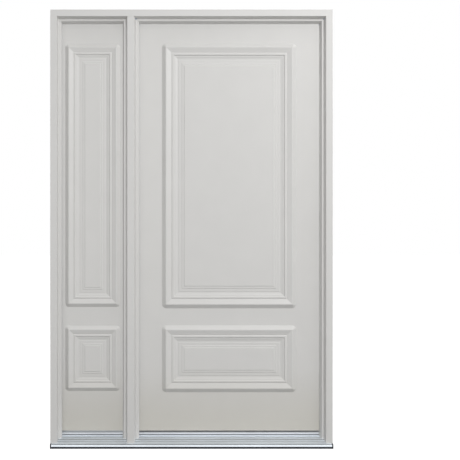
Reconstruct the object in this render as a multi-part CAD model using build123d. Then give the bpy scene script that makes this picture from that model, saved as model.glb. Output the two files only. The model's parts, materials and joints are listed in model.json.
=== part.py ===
from build123d import *
import os

os.makedirs("parts", exist_ok=True)

# An inswing entrance door unit: one hinged slab with a fixed panelled sidelight on its left,
# in a clad frame on a sloping aluminium sill. Seen from outside, X runs right, Y runs inwards
# and Z runs up. The origin is under the sill, at mid width, in the plane of the frame's face.

# Slabs
DOOR_WIDTH = 908.0
SIDELIGHT_WIDTH = 324.0
SLAB_HEIGHT = 2018.0
SLAB_THICKNESS = 44.5
SKIN_THICKNESS = 1.8
STILE_WIDTH = 32.0
TOP_RAIL_HEIGHT = 32.0
BOTTOM_RAIL_HEIGHT = 60.0
LATCH_BEVEL = 2.3

# Gaps round the slabs
DOOR_SIDE_GAP = 5.0
HEAD_GAP = 5.0
SIDELIGHT_SIDE_GAP = 3.0
DOOR_UNDERCUT = 8.1

# Frame
JAMB_THICKNESS = 32.5
HEAD_THICKNESS = 32.5
FRAME_DEPTH = 144.5
MULLION_THICKNESS = 50.0
MULLION_COVER_WIDTH = 32.0
STOP_DEPTH = 35.0
STOP_PROJECTION = 15.0
STOP_RAKE_WIDTH = 6.5
STOP_RAKE_DEPTH = 10.0
EDGE_ROUND = 1.5

# Sill
SILL_NOSE = 15.0
TREAD_RISE = 23.0
TREAD_SLOPE = 0.146
TREAD_THICKNESS = 3.0
NOSE_DROP = 11.4
NOSE_THICKNESS = 3.0
GROOVE_COUNT = 4
GROOVE_PITCH = 30.0
GROOVE_FIRST = 13.0
GROOVE_WIDTH = 6.0
GROOVE_DEPTH = 1.4
END_CAP_WIDTH = 6.0
THRESHOLD_TOP = 52.0
THRESHOLD_LEAD = 6.0
THRESHOLD_SETBACK = 4.5
THRESHOLD_ROUND = 5.0

# Seals
SEAL_GAP = 9.0
SEAL_RECESS = 2.5
SEAL_WIDTH = 10.0
SEAL_CLEARANCE = 0.5
SEAL_ROUND = 3.0
SWEEP_HEIGHT = 3.0
SWEEP_INSET = 4.0
SWEEP_FIN_COUNT = 3
SWEEP_FIN_WIDTH = 6.0

# Hinges
HINGE_COUNT = 3
HINGE_HEIGHT = 101.6
HINGE_TOP_OFFSET = 178.0
HINGE_BOTTOM_OFFSET = 279.0
LEAF_THICKNESS = 2.5
LEAF_DEPTH = 34.5
BARREL_RADIUS = 6.5
BARREL_STAND_OFF = 0.5
PIN_RADIUS = 4.0
PIN_CLEARANCE = 0.05
PIN_HEAD_HEIGHT = 3.0
KNUCKLE_COUNT = 5
KNUCKLE_GAP = 0.4

# Moulded panels: margins round them on the slabs
DOOR_PANEL_MARGIN = 118.5
SIDELIGHT_PANEL_MARGIN = 23.5
DOOR_TOP_MARGIN = 100.5
DOOR_LOWER_PANEL_HEIGHT = 337.5
DOOR_PANEL_SPACING = 77.5
DOOR_BOTTOM_MARGIN = 186.0
SIDELIGHT_TOP_MARGIN = 104.0
SIDELIGHT_LOWER_PANEL_HEIGHT = 328.5
SIDELIGHT_PANEL_SPACING = 86.5
SIDELIGHT_BOTTOM_MARGIN = 193.0
SIDELIGHT_PROFILE_SCALE = 0.88

# Moulding section, from its outer edge inwards
EDGE_RISE = 1.2
SLOPE_WIDTH = 22.0
CREST_RISE = 15.5
CREST_ROUND = 8.0
BAND_WIDTH = 27.0
BAND_DROP = 9.0
BEAD_RUN_UP = 3.5
BEAD_RISE = 2.5
BEAD_TOP = 7.0
BEAD_RUN_DOWN = 4.5
LEDGE_RISE = 4.5
LEDGE_WIDTH = 4.0
COVE_WIDTH = 16.0
COVE_FLOOR_RISE = 1.0
RISER_RUN = 2.5
FIRST_RISER = 2.0
SECOND_RISER = 1.2
THIRD_RISER = 1.3
FIRST_TREAD = 14.0
SECOND_TREAD = 9.5
FIELD_MARGIN = 3.0

# Places along X, worked out from the widths
unit_width = (
    2 * JAMB_THICKNESS
    + 2 * SIDELIGHT_SIDE_GAP
    + SIDELIGHT_WIDTH
    + MULLION_THICKNESS
    + 2 * DOOR_SIDE_GAP
    + DOOR_WIDTH
)
left_side = -unit_width / 2
left_rabbet = left_side + JAMB_THICKNESS
sidelight_left = left_rabbet + SIDELIGHT_SIDE_GAP
sidelight_right = sidelight_left + SIDELIGHT_WIDTH
mullion_left = sidelight_right + SIDELIGHT_SIDE_GAP
mullion_right = mullion_left + MULLION_THICKNESS
mullion_middle = (mullion_left + mullion_right) / 2
door_left = mullion_right + DOOR_SIDE_GAP
door_right = door_left + DOOR_WIDTH
right_rabbet = door_right + DOOR_SIDE_GAP
right_side = right_rabbet + JAMB_THICKNESS

# Places along Y
slab_back = FRAME_DEPTH
slab_front = slab_back - SLAB_THICKNESS
stop_back = slab_front - SEAL_GAP
stop_front = stop_back - STOP_DEPTH
tread_back = slab_front - THRESHOLD_LEAD
threshold_back = slab_back - THRESHOLD_SETBACK

# Places along Z
sill_shelf = TREAD_RISE + TREAD_SLOPE * tread_back
slab_bottom = THRESHOLD_TOP + DOOR_UNDERCUT
slab_top = slab_bottom + SLAB_HEIGHT
head_underside = slab_top + HEAD_GAP
head_top = head_underside + HEAD_THICKNESS

# Hinge pin centre in plan, and its leaves' front edge
pin_x = (door_right + right_rabbet) / 2
pin_y = FRAME_DEPTH + BARREL_STAND_OFF + BARREL_RADIUS
leaf_front = FRAME_DEPTH - LEAF_DEPTH


def save(node, *solids):
    """Write the solids of one named piece to its STEP file."""
    shape = solids[0] if len(solids) == 1 else Compound(list(solids))
    export_step(shape, f"parts/{node}.step")


def block(x0, x1, y0, y1, z0, z1):
    """A box between two corners."""
    low = Vector(min(x0, x1), min(y0, y1), min(z0, z1))
    high = Vector(max(x0, x1), max(y0, y1), max(z0, z1))
    size = high - low
    return Pos(low) * Box(*size, align=(Align.MIN, Align.MIN, Align.MIN))


def along_x(points, x0, x1):
    """A solid whose section in Y and Z is the polygon, from x0 to x1."""
    outline = make_face(Polyline(*[(x0, y, z) for y, z in points], close=True))
    return extrude(outline, amount=x1 - x0, dir=(1, 0, 0))


def tread_top(y):
    """Height of the sill's sloping top at depth y."""
    return TREAD_RISE + TREAD_SLOPE * y


def upright(x0, x1, y0, y1, top):
    """A vertical board whose foot is cut to the sill's slope and shelf."""
    foot = [(y0, tread_top(min(y0, tread_back)))]
    if y0 < tread_back < y1:
        foot.append((tread_back, sill_shelf))
    foot.append((y1, tread_top(min(y1, tread_back))))
    return along_x([*foot, (y1, top), (y0, top)], x0, x1)


def prism(plan, top):
    """A solid that stands on the ground with the polygon as its plan."""
    return extrude(make_face(Polyline(*plan, close=True)), amount=top, dir=(0, 0, 1))


def front_edges(board, y):
    """The long upright edges of a board that lie at depth y."""
    return board.edges().filter_by(Axis.Z).filter_by_position(Axis.Y, y - 0.01, y + 0.01)


def make_frame_boards():
    """Jambs, head, mullion and the stops planted on them."""
    left_jamb = upright(left_side, left_rabbet, 0, FRAME_DEPTH, head_underside)
    left_jamb = fillet(front_edges(left_jamb, 0), EDGE_ROUND)
    right_jamb = upright(right_rabbet, right_side, 0, FRAME_DEPTH, head_underside)
    right_jamb = fillet(front_edges(right_jamb, 0), EDGE_ROUND)
    for bottom in hinge_bottoms():
        right_jamb -= leaf_plate(right_rabbet, right_rabbet + LEAF_THICKNESS, bottom)
    save("left_jamb", left_jamb)
    save("right_jamb", right_jamb)

    head = block(left_side, right_side, 0, FRAME_DEPTH, head_underside, head_top)
    face_edges = head.edges().filter_by(Axis.X).filter_by_position(Axis.Y, -0.01, 0.01)
    save("head_jamb", fillet(face_edges, EDGE_ROUND))

    post = upright(mullion_left, mullion_right, stop_front, FRAME_DEPTH, head_underside)
    save("mullion_post", post)
    half_cover = MULLION_COVER_WIDTH / 2
    cover = upright(mullion_left, mullion_right, 0, stop_front, head_underside)
    for side, front in (
        (mullion_left, mullion_middle - half_cover),
        (mullion_right, mullion_middle + half_cover),
    ):
        cover -= prism([(side, 0), (front, 0), (side, stop_front)], head_underside)
    save("mullion_cover", fillet(front_edges(cover, 0), EDGE_ROUND))

    side_stops = {
        "left_stop": (left_rabbet, 1),
        "mullion_sidelight_stop": (mullion_left, -1),
        "mullion_door_stop": (mullion_right, 1),
        "right_stop": (right_rabbet, -1),
    }
    for node, (root, outwards) in side_stops.items():
        save(node, side_stop(root, outwards))
    head_stops = {
        "head_sidelight_stop": (left_rabbet + STOP_PROJECTION, mullion_left - STOP_PROJECTION),
        "head_door_stop": (mullion_right + STOP_PROJECTION, right_rabbet - STOP_PROJECTION),
    }
    z0 = head_underside - STOP_PROJECTION
    head_section = [
        (stop_front, head_underside),
        (stop_front, z0 + STOP_RAKE_WIDTH),
        (stop_front + STOP_RAKE_DEPTH, z0),
        (stop_back, z0),
        (stop_back, head_underside),
    ]
    for node, (x0, x1) in head_stops.items():
        save(node, along_x(head_section, x0, x1))


def side_stop(root, outwards):
    """An upright stop that stands out from the board at x = root, with its front corner raked."""
    tip = root + outwards * STOP_PROJECTION
    stop = upright(min(root, tip), max(root, tip), stop_front, stop_back, head_underside)
    rake = [
        (tip, stop_front),
        (tip - outwards * STOP_RAKE_WIDTH, stop_front),
        (tip, stop_front + STOP_RAKE_DEPTH),
    ]
    return stop - prism(rake, head_underside)


def make_sill():
    """Composite base, grooved aluminium tread with its end caps, and the raised thresholds."""
    nose_bottom = tread_top(-SILL_NOSE) - NOSE_DROP
    nose_back = -SILL_NOSE + NOSE_THICKNESS
    tread_section = [
        (-SILL_NOSE, nose_bottom),
        (nose_back, nose_bottom),
        (nose_back, tread_top(nose_back) - TREAD_THICKNESS),
        (tread_back, sill_shelf - TREAD_THICKNESS),
        (tread_back, sill_shelf),
        (-SILL_NOSE, tread_top(-SILL_NOSE)),
    ]
    base_section = [
        (-SILL_NOSE, 0),
        (FRAME_DEPTH, 0),
        (FRAME_DEPTH, sill_shelf),
        (tread_back, sill_shelf),
        (tread_back, sill_shelf - TREAD_THICKNESS),
        (nose_back, tread_top(nose_back) - TREAD_THICKNESS),
        (nose_back, nose_bottom),
        (-SILL_NOSE, nose_bottom),
    ]
    save("sill_base", along_x(base_section, left_side, right_side))

    tread_left = left_side + END_CAP_WIDTH
    tread_right = right_side - END_CAP_WIDTH
    tread = along_x(tread_section, tread_left, tread_right)
    for number in range(GROOVE_COUNT):
        middle = -SILL_NOSE + GROOVE_FIRST + number * GROOVE_PITCH
        groove = [
            (middle - GROOVE_WIDTH / 2, tread_top(middle - GROOVE_WIDTH / 2) + 1),
            (middle - GROOVE_WIDTH / 4, tread_top(middle) - GROOVE_DEPTH),
            (middle + GROOVE_WIDTH / 4, tread_top(middle) - GROOVE_DEPTH),
            (middle + GROOVE_WIDTH / 2, tread_top(middle + GROOVE_WIDTH / 2) + 1),
        ]
        tread -= along_x(groove, tread_left, tread_right)
    save("sill_tread", tread)
    save(
        "sill_end_caps",
        along_x(tread_section, left_side, tread_left),
        along_x(tread_section, tread_right, right_side),
    )

    door_threshold = block(
        mullion_right, right_rabbet, tread_back, threshold_back, sill_shelf, THRESHOLD_TOP
    )
    save("door_threshold", round_threshold(door_threshold))
    sidelight_threshold = block(
        left_rabbet, mullion_left, tread_back, threshold_back, sill_shelf, THRESHOLD_TOP
    )
    packer = block(
        left_rabbet, mullion_left, slab_front + SKIN_THICKNESS, threshold_back,
        THRESHOLD_TOP, slab_bottom,
    )
    save("sidelight_threshold", round_threshold(sidelight_threshold) + packer)


def round_threshold(cap):
    """Round the upper front edge of a threshold."""
    return fillet(cap.edges().filter_by(Axis.X).group_by(Axis.Z)[-1].sort_by(Axis.Y)[0], THRESHOLD_ROUND)


def make_seals():
    """Weatherstrips on the stops round the door, and the sidelight's bedding seal."""
    front = stop_back
    back = slab_front - SEAL_CLEARANCE
    head_seal_z = head_underside - STOP_PROJECTION + SEAL_RECESS
    latch_x = mullion_right + STOP_PROJECTION - SEAL_RECESS
    hinge_x = right_rabbet - STOP_PROJECTION + SEAL_RECESS
    latch = block(latch_x - SEAL_WIDTH, latch_x, front, back, THRESHOLD_TOP, head_seal_z)
    hinge = block(hinge_x, hinge_x + SEAL_WIDTH, front, back, THRESHOLD_TOP, head_seal_z)
    head = block(
        latch_x - SEAL_WIDTH, hinge_x + SEAL_WIDTH, front, back,
        head_seal_z, head_seal_z + SEAL_WIDTH,
    )
    latch = fillet(front_edges(latch, back), SEAL_ROUND)
    hinge = fillet(front_edges(hinge, back), SEAL_ROUND)
    head_edges = head.edges().filter_by(Axis.X).filter_by_position(Axis.Y, back - 0.01, back + 0.01)
    save("latch_side_weatherstrip", latch)
    save("hinge_side_weatherstrip", hinge)
    save("head_weatherstrip", fillet(head_edges, SEAL_ROUND))

    outer = (left_rabbet + STOP_PROJECTION - SEAL_RECESS, mullion_left - STOP_PROJECTION + SEAL_RECESS)
    top = head_seal_z + SEAL_WIDTH
    bedding = block(
        outer[0] - SEAL_WIDTH, outer[1] + SEAL_WIDTH, stop_back, slab_front, THRESHOLD_TOP, top
    ) - block(outer[0], outer[1], stop_back, slab_front, THRESHOLD_TOP, head_seal_z)
    save("sidelight_seal", bedding)


def moulding_points(scale):
    """Points of the moulding's section: distance in from the outer edge, and rise."""
    points = {"foot": (0, 0), "edge": (0, EDGE_RISE)}
    points["crest"] = (SLOPE_WIDTH, CREST_RISE)
    reach = SLOPE_WIDTH + BAND_WIDTH
    rise = CREST_RISE - BAND_DROP
    points["band_end"] = (reach, rise)
    points["bead_start"] = (reach + BEAD_RUN_UP, rise + BEAD_RISE)
    reach += BEAD_RUN_UP + BEAD_TOP
    points["bead_end"] = (reach, rise + BEAD_RISE)
    reach += BEAD_RUN_DOWN
    points["ledge_start"] = (reach, LEDGE_RISE)
    reach += LEDGE_WIDTH
    points["cove_top"] = (reach, LEDGE_RISE)
    reach += COVE_WIDTH
    rise = COVE_FLOOR_RISE
    points["cove_floor"] = (reach, rise)
    steps = {
        "first": (FIRST_RISER, FIRST_TREAD),
        "second": (SECOND_RISER, SECOND_TREAD),
        "third": (THIRD_RISER, FIELD_MARGIN),
    }
    for name, (riser, tread) in steps.items():
        reach += RISER_RUN
        rise += riser
        points[f"{name}_riser"] = (reach, rise)
        reach += tread
        points[f"{name}_tread"] = (reach, rise)
    return {name: (u * scale, h * scale) for name, (u, h) in points.items()}


def moulding_side(length, scale):
    """One straight side of a panel's moulding, mitred at both ends, lying along X."""
    points = moulding_points(scale)
    names = list(points)
    place = {name: Vector(0, u, h) for name, (u, h) in points.items()}
    cove_end = names.index("cove_floor")
    last = place[names[-1]]
    back = Vector(0, last.Y, 0)
    runs = [
        Polyline(*[place[name] for name in names[:cove_end]]),
        TangentArc(place["cove_floor"], place["cove_top"], tangent=(0, -1, 0)),
        Polyline(*[place[name] for name in names[cove_end:]]),
        Line(last, back),
        Line(back, place["foot"]),
    ]
    section = make_face([edge for run in runs for edge in run.edges()]).face()
    crest = section.vertices().sort_by_distance(place["crest"])[0]
    section = section.fillet_2d(CREST_ROUND * scale, [crest])
    bar = extrude(section, amount=length, dir=(1, 0, 0))
    reach = last.Y
    corners = [(0, 0), (length, 0), (length - reach, reach), (reach, reach)]
    mitre = extrude(make_face(Polyline(*corners, close=True)), amount=2 * CREST_RISE)
    return bar & mitre


def moulded_panel(width, height, scale):
    """A raised moulding with its stepped field, lying in X and Y, with its face up."""
    reach, rise = list(moulding_points(scale).values())[-1]
    rail = moulding_side(width, scale)
    stile = moulding_side(height, scale)
    panel = Pos(reach, reach) * Box(
        width - 2 * reach, height - 2 * reach, rise, align=(Align.MIN, Align.MIN, Align.MIN)
    )
    panel += rail
    panel += Pos(width, height) * Rot(0, 0, 180) * rail
    panel += Pos(width, 0) * Rot(0, 0, 90) * stile
    panel += Pos(0, height) * Rot(0, 0, -90) * stile
    return panel


def make_panels(prefix, x0, x1, heights, scale):
    """The upper and lower moulded panels on both faces of a slab."""
    for place, (z0, z1) in heights.items():
        panel = moulded_panel(x1 - x0, z1 - z0, scale)
        outside = Plane(origin=(x0, slab_front, z0), x_dir=(1, 0, 0), z_dir=(0, -1, 0))
        inside = Plane(origin=(x1, slab_back, z0), x_dir=(-1, 0, 0), z_dir=(0, 1, 0))
        save(f"{prefix}_{place}_panel_outside", outside * panel)
        save(f"{prefix}_{place}_panel_inside", inside * panel)


def panel_heights(bottom_margin, lower_height, spacing, top_margin):
    """Bottom and top of the lower and upper panels of a slab."""
    lower = (slab_bottom + bottom_margin, slab_bottom + bottom_margin + lower_height)
    return {"lower": lower, "upper": (lower[1] + spacing, slab_top - top_margin)}


def make_sidelight():
    """The fixed slab left of the door: skins, edge timbers, core and moulded panels."""
    x0, x1 = sidelight_left, sidelight_right
    front, back = slab_front + SKIN_THICKNESS, slab_back - SKIN_THICKNESS
    save("sidelight_exterior_skin", block(x0, x1, slab_front, front, slab_bottom, slab_top))
    save("sidelight_interior_skin", block(x0, x1, back, slab_back, slab_bottom, slab_top))
    save(
        "sidelight_stiles",
        block(x0, x0 + STILE_WIDTH, front, back, slab_bottom, slab_top),
        block(x1 - STILE_WIDTH, x1, front, back, slab_bottom, slab_top),
    )
    inner = (x0 + STILE_WIDTH, x1 - STILE_WIDTH)
    core_bottom = slab_bottom + BOTTOM_RAIL_HEIGHT
    core_top = slab_top - TOP_RAIL_HEIGHT
    save(
        "sidelight_rails",
        block(*inner, front, back, slab_bottom, core_bottom),
        block(*inner, front, back, core_top, slab_top),
    )
    save("sidelight_core", block(*inner, front, back, core_bottom, core_top))
    make_panels(
        "sidelight",
        x0 + SIDELIGHT_PANEL_MARGIN,
        x1 - SIDELIGHT_PANEL_MARGIN,
        panel_heights(
            SIDELIGHT_BOTTOM_MARGIN, SIDELIGHT_LOWER_PANEL_HEIGHT,
            SIDELIGHT_PANEL_SPACING, SIDELIGHT_TOP_MARGIN,
        ),
        SIDELIGHT_PROFILE_SCALE,
    )


def make_door():
    """The hinged slab: skins, edge timbers, core, moulded panels and the sweep below it."""
    x0, x1 = door_left, door_right
    front, back = slab_front + SKIN_THICKNESS, slab_back - SKIN_THICKNESS
    bevel_rate = LATCH_BEVEL / SLAB_THICKNESS

    def bevelled(y0, y1, right, z0, z1):
        """A board whose left edge follows the bevel of the latch side."""
        plan = [
            (x0 + bevel_rate * (slab_back - y0), y0),
            (right, y0),
            (right, y1),
            (x0 + bevel_rate * (slab_back - y1), y1),
        ]
        return Pos(0, 0, z0) * extrude(make_face(Polyline(*plan, close=True)), amount=z1 - z0)

    save("door_exterior_skin", bevelled(slab_front, front, x1, slab_bottom, slab_top))
    save("door_latch_stile", bevelled(front, back, x0 + STILE_WIDTH, slab_bottom, slab_top))
    interior_skin = bevelled(back, slab_back, x1, slab_bottom, slab_top)
    hinge_stile = block(x1 - STILE_WIDTH, x1, front, back, slab_bottom, slab_top)
    for bottom in hinge_bottoms():
        mortise = leaf_plate(x1 - LEAF_THICKNESS, x1, bottom)
        interior_skin -= mortise
        hinge_stile -= mortise
    save("door_interior_skin", interior_skin)
    save("door_hinge_stile", hinge_stile)
    inner = (x0 + STILE_WIDTH, x1 - STILE_WIDTH)
    core_bottom = slab_bottom + BOTTOM_RAIL_HEIGHT
    core_top = slab_top - TOP_RAIL_HEIGHT
    save("door_bottom_rail", block(*inner, front, back, slab_bottom, core_bottom))
    save("door_top_rail", block(*inner, front, back, core_top, slab_top))
    save("door_core", block(*inner, front, back, core_bottom, core_top))
    make_panels(
        "door",
        x0 + DOOR_PANEL_MARGIN,
        x1 - DOOR_PANEL_MARGIN,
        panel_heights(
            DOOR_BOTTOM_MARGIN, DOOR_LOWER_PANEL_HEIGHT, DOOR_PANEL_SPACING, DOOR_TOP_MARGIN
        ),
        1.0,
    )
    sweep_front = slab_front + SWEEP_INSET
    sweep_back = slab_back - SWEEP_INSET
    sweep_left = x0 + LATCH_BEVEL
    sweep = block(
        sweep_left, x1, sweep_front, sweep_back, slab_bottom - SWEEP_HEIGHT / 3, slab_bottom
    )
    fin_pitch = (sweep_back - sweep_front - SWEEP_FIN_WIDTH) / (SWEEP_FIN_COUNT - 1)
    for number in range(SWEEP_FIN_COUNT):
        y = sweep_front + number * fin_pitch
        sweep += block(
            sweep_left, x1, y, y + SWEEP_FIN_WIDTH, slab_bottom - SWEEP_HEIGHT, slab_bottom
        )
    save("door_sweep", sweep)


def hinge_bottoms():
    """Heights of the hinges' lower ends, evenly spaced between the lowest and the highest."""
    lowest = slab_bottom + HINGE_BOTTOM_OFFSET
    highest = slab_top - HINGE_TOP_OFFSET - HINGE_HEIGHT
    spacing = (highest - lowest) / (HINGE_COUNT - 1)
    return [lowest + number * spacing for number in range(HINGE_COUNT)]


def leaf_plate(x0, x1, bottom):
    """The flat of one hinge leaf, which is also the mortise that takes it."""
    return block(x0, x1, leaf_front, FRAME_DEPTH, bottom, bottom + HINGE_HEIGHT)


def hinge_leaf(x0, x1, bottom, first_knuckle):
    """One leaf with every second knuckle of the barrel, bored for the pin."""
    leaf = leaf_plate(x0, x1, bottom)
    length = (HINGE_HEIGHT - (KNUCKLE_COUNT - 1) * KNUCKLE_GAP) / KNUCKLE_COUNT
    for number in range(first_knuckle, KNUCKLE_COUNT, 2):
        z = bottom + number * (length + KNUCKLE_GAP)
        leaf += block(x0, x1, FRAME_DEPTH, pin_y, z, z + length)
        barrel = Cylinder(BARREL_RADIUS, length, align=(Align.CENTER, Align.CENTER, Align.MIN))
        leaf += Pos(pin_x, pin_y, z) * barrel
    bore = Cylinder(
        PIN_RADIUS + PIN_CLEARANCE, HINGE_HEIGHT, align=(Align.CENTER, Align.CENTER, Align.MIN)
    )
    return leaf - Pos(pin_x, pin_y, bottom) * bore


def hinge_pin(bottom):
    """A pin with a head above the barrel and a button below it."""
    from_bottom = (Align.CENTER, Align.CENTER, Align.MIN)
    pin = Pos(pin_x, pin_y, bottom) * Cylinder(PIN_RADIUS, HINGE_HEIGHT, align=from_bottom)
    cap = Cylinder(BARREL_RADIUS, PIN_HEAD_HEIGHT, align=from_bottom)
    pin += Pos(pin_x, pin_y, bottom + HINGE_HEIGHT) * cap
    return pin + Pos(pin_x, pin_y, bottom - PIN_HEAD_HEIGHT) * cap


def make_hinges():
    """Butt hinges on the inner side: leaves let into jamb and stile, and their pins."""
    bottoms = hinge_bottoms()
    frame_x = (right_rabbet, right_rabbet + LEAF_THICKNESS)
    door_x = (door_right - LEAF_THICKNESS, door_right)
    save("hinge_frame_leaves", *[hinge_leaf(*frame_x, bottom, 0) for bottom in bottoms])
    save("hinge_door_leaves", *[hinge_leaf(*door_x, bottom, 1) for bottom in bottoms])
    save("hinge_pins", *[hinge_pin(bottom) for bottom in bottoms])


make_frame_boards()
make_sill()
make_seals()
make_sidelight()
make_door()
make_hinges()
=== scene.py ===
import json
import logging
import math
from dataclasses import dataclass
from enum import Enum
from typing import Callable, Iterable, Sequence

import bmesh
import bpy
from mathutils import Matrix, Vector


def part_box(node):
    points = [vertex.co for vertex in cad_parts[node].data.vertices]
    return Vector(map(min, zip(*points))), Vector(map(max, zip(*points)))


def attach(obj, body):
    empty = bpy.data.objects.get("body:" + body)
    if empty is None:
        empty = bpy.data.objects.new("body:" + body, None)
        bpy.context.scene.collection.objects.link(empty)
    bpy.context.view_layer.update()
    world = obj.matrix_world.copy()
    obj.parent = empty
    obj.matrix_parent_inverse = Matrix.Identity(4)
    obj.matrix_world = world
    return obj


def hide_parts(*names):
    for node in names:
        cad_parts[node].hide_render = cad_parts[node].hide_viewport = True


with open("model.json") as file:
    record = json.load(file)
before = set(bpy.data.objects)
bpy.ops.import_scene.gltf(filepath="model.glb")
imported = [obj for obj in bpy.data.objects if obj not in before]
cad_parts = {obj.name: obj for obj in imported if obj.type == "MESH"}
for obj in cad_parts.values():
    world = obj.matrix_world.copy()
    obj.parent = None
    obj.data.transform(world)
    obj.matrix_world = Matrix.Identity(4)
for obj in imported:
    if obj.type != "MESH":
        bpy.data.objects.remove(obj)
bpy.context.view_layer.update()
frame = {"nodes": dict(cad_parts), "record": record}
LOG = logging.getLogger("entrance_door")

MM = 0.001
TINY = 1e-5
SHARP_ANGLE = math.radians(32.0)
FLAT_ANGLE = math.radians(1.0)
QUARTER_TURN = math.pi / 2
PAINT_SPECULAR = 0.35
WHITE = (1.0, 1.0, 1.0, 1.0)
# Mesh layer that says how much painted shade each point of the sill and thresholds gets.
GROOVE_SHADE_ATTRIBUTE = "groove"

Triple = tuple[float, float, float]
Colour = Triple
Point = tuple[float, float]
Band = tuple[float, float]
Ground = Callable[[float], float]
Station = Callable[[float, float], Vector]
Socket = bpy.types.NodeSocket
Inputs = dict[str | int, object]


class Slot(Enum):
    """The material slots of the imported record."""

    FRAME_PAINT = "frame_paint"
    SLAB_PAINT = "slab_paint"
    EDGE_TIMBER = "edge_timber"
    FOAM_CORE = "foam_core"
    SILL_METAL = "sill_metal"
    THRESHOLD_METAL = "threshold_metal"
    SILL_COMPOSITE = "sill_composite"
    WEATHERSTRIP = "weatherstrip"
    SWEEP_RUBBER = "sweep_rubber"
    HINGE_STEEL = "hinge_steel"


class Side(Enum):
    """The two faces of the unit."""

    OUTSIDE = "outside"
    INSIDE = "inside"


class Body(Enum):
    """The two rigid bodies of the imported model."""

    FRAME = "frame"
    DOOR = "door"


class NodeSheet:
    """A node tree being written, with short ways to add nodes and join them."""

    def __init__(self, tree: bpy.types.NodeTree) -> None:
        """Start on a tree, without the nodes it came with."""
        self.tree = tree
        tree.nodes.clear()

    def add(self, kind: str, inputs: Inputs | None = None, **settings: object) -> bpy.types.Node:
        """Add a node.

        Args:
            kind: the node's type name.
            inputs: a constant, or an output to follow, for each input by its name or number.
            settings: properties to set on it.

        Returns:
            The new node.
        """
        node = self.tree.nodes.new(kind)
        for name, value in settings.items():
            setattr(node, name, value)
        for key, value in (inputs or {}).items():
            self.feed(node.inputs[key], value)
        return node

    def join(self, source: Socket, target: Socket) -> None:
        """Link an output to an input."""
        self.tree.links.new(source, target)

    def feed(self, target: Socket, value: object) -> None:
        """Give an input a constant or an output to follow.

        Args:
            target: the input.
            value: a constant for its default, or the output to link to it.
        """
        if isinstance(value, Socket):
            self.join(value, target)
        else:
            target.default_value = value

    def maths(self, operation: str, *values: object) -> Socket:
        """Work out a number by a Math node from one, two or three numbers or outputs."""
        return self.add("ShaderNodeMath", dict(enumerate(values)), operation=operation).outputs[0]

    def vector(self, *parts: object) -> Socket:
        """Join three numbers or outputs into a vector."""
        return self.add("ShaderNodeCombineXYZ", dict(enumerate(parts))).outputs[0]

    def spread(self, value: Socket, low: float, high: float) -> Socket:
        """Stretch a pattern that goes from 0 to 1 over another range."""
        limits = {"Value": value, "To Min": low, "To Max": high}
        return self.add("ShaderNodeMapRange", limits).outputs["Result"]


class Surface(NodeSheet):
    """A material being written round one Principled shader."""

    def __init__(self, name: str) -> None:
        """Make the material with its shader and its Object coordinates.

        Args:
            name: the material's name.
        """
        self.material = bpy.data.materials.new(name)
        self.material.use_nodes = True
        super().__init__(self.material.node_tree)
        self.shader = self.add("ShaderNodeBsdfPrincipled")
        self.add("ShaderNodeOutputMaterial", {"Surface": self.shader.outputs[0]})
        self.places = self.add("ShaderNodeTexCoord").outputs["Object"]

    def noise(self, scale: float, detail: float, stretch: Triple = (1.0, 1.0, 1.0)) -> Socket:
        """A cloudy pattern on Object coordinates.

        Args:
            scale: how many blotches there are in a metre.
            detail: how many finer layers it has.
            stretch: how much denser it is along X, Y and Z.

        Returns:
            The output with the pattern, from 0 to 1.
        """
        mapping = self.add("ShaderNodeMapping", {"Vector": self.places, "Scale": stretch})
        inputs = {"Vector": mapping.outputs[0], "Scale": scale, "Detail": detail}
        return self.add("ShaderNodeTexNoise", inputs).outputs["Fac"]

    def tint(
        self, colour: Colour | Socket, shift: Colour, pattern: Socket, blend: str = "MIX"
    ) -> Socket:
        """Vary a colour by a pattern.

        Args:
            colour: the colour where the pattern is 0, or the output that holds it.
            shift: the colour that comes in where it is 1.
            pattern: what goes between the two.
            blend: how the second colour comes in.

        Returns:
            The output with the colour.
        """
        first = (*colour, 1.0) if isinstance(colour, tuple) else colour
        inputs = {"Factor": pattern, "A": first, "B": (*shift, 1.0)}
        node = self.add("ShaderNodeMix", inputs, data_type="RGBA", blend_type=blend)
        return node.outputs["Result"]

    def mottled(self, colour: Colour, tones: Band, pattern: Socket) -> Socket:
        """Vary a colour by a pattern between a darker and a lighter tone of it."""
        return self.tint(*(shade(colour, tone) for tone in tones), pattern)

    def coat(
        self,
        colour: Socket,
        roughness: Socket | float,
        layers: Sequence[tuple[Socket, float]],
        specular: float = 0.5,
    ) -> bpy.types.Material:
        """Give the shader what it shows, and hand over the finished material.

        Args:
            colour: the output with its colour.
            roughness: its roughness, as a number or an output.
            layers: the patterns that raise it, each with its height in metres.
            specular: how much it reflects.

        Returns:
            The material.
        """
        inputs = self.shader.inputs
        self.join(colour, inputs["Base Color"])
        self.feed(inputs["Roughness"], roughness)
        inputs["Specular IOR Level"].default_value = specular
        target = inputs["Normal"]
        for pattern, height in reversed(layers):
            relief = {"Strength": 1.0, "Distance": height, "Height": pattern}
            bump = self.add("ShaderNodeBump", relief)
            self.join(bump.outputs["Normal"], target)
            target = bump.inputs["Normal"]
        return self.material

    def low_down(self, height: float) -> Socket:
        """How near a place is to the ground, for the painted shade towards the foot.

        Args:
            height: where the dust ends, above the origin.

        Returns:
            The output, 1 at the foot and 0 from that height up.
        """
        up = self.add("ShaderNodeSeparateXYZ", {0: self.places}).outputs["Z"]
        limits = {"Value": up, "From Min": 0.0, "From Max": height, "To Min": 1.0, "To Max": 0.0}
        ramp = self.add("ShaderNodeMapRange", limits, interpolation_type="SMOOTHSTEP")
        return ramp.outputs["Result"]


def shade(colour: Colour, factor: float) -> Colour:
    """A colour made darker or lighter by a factor."""
    return tuple(min(1.0, part * factor) for part in colour)


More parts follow.
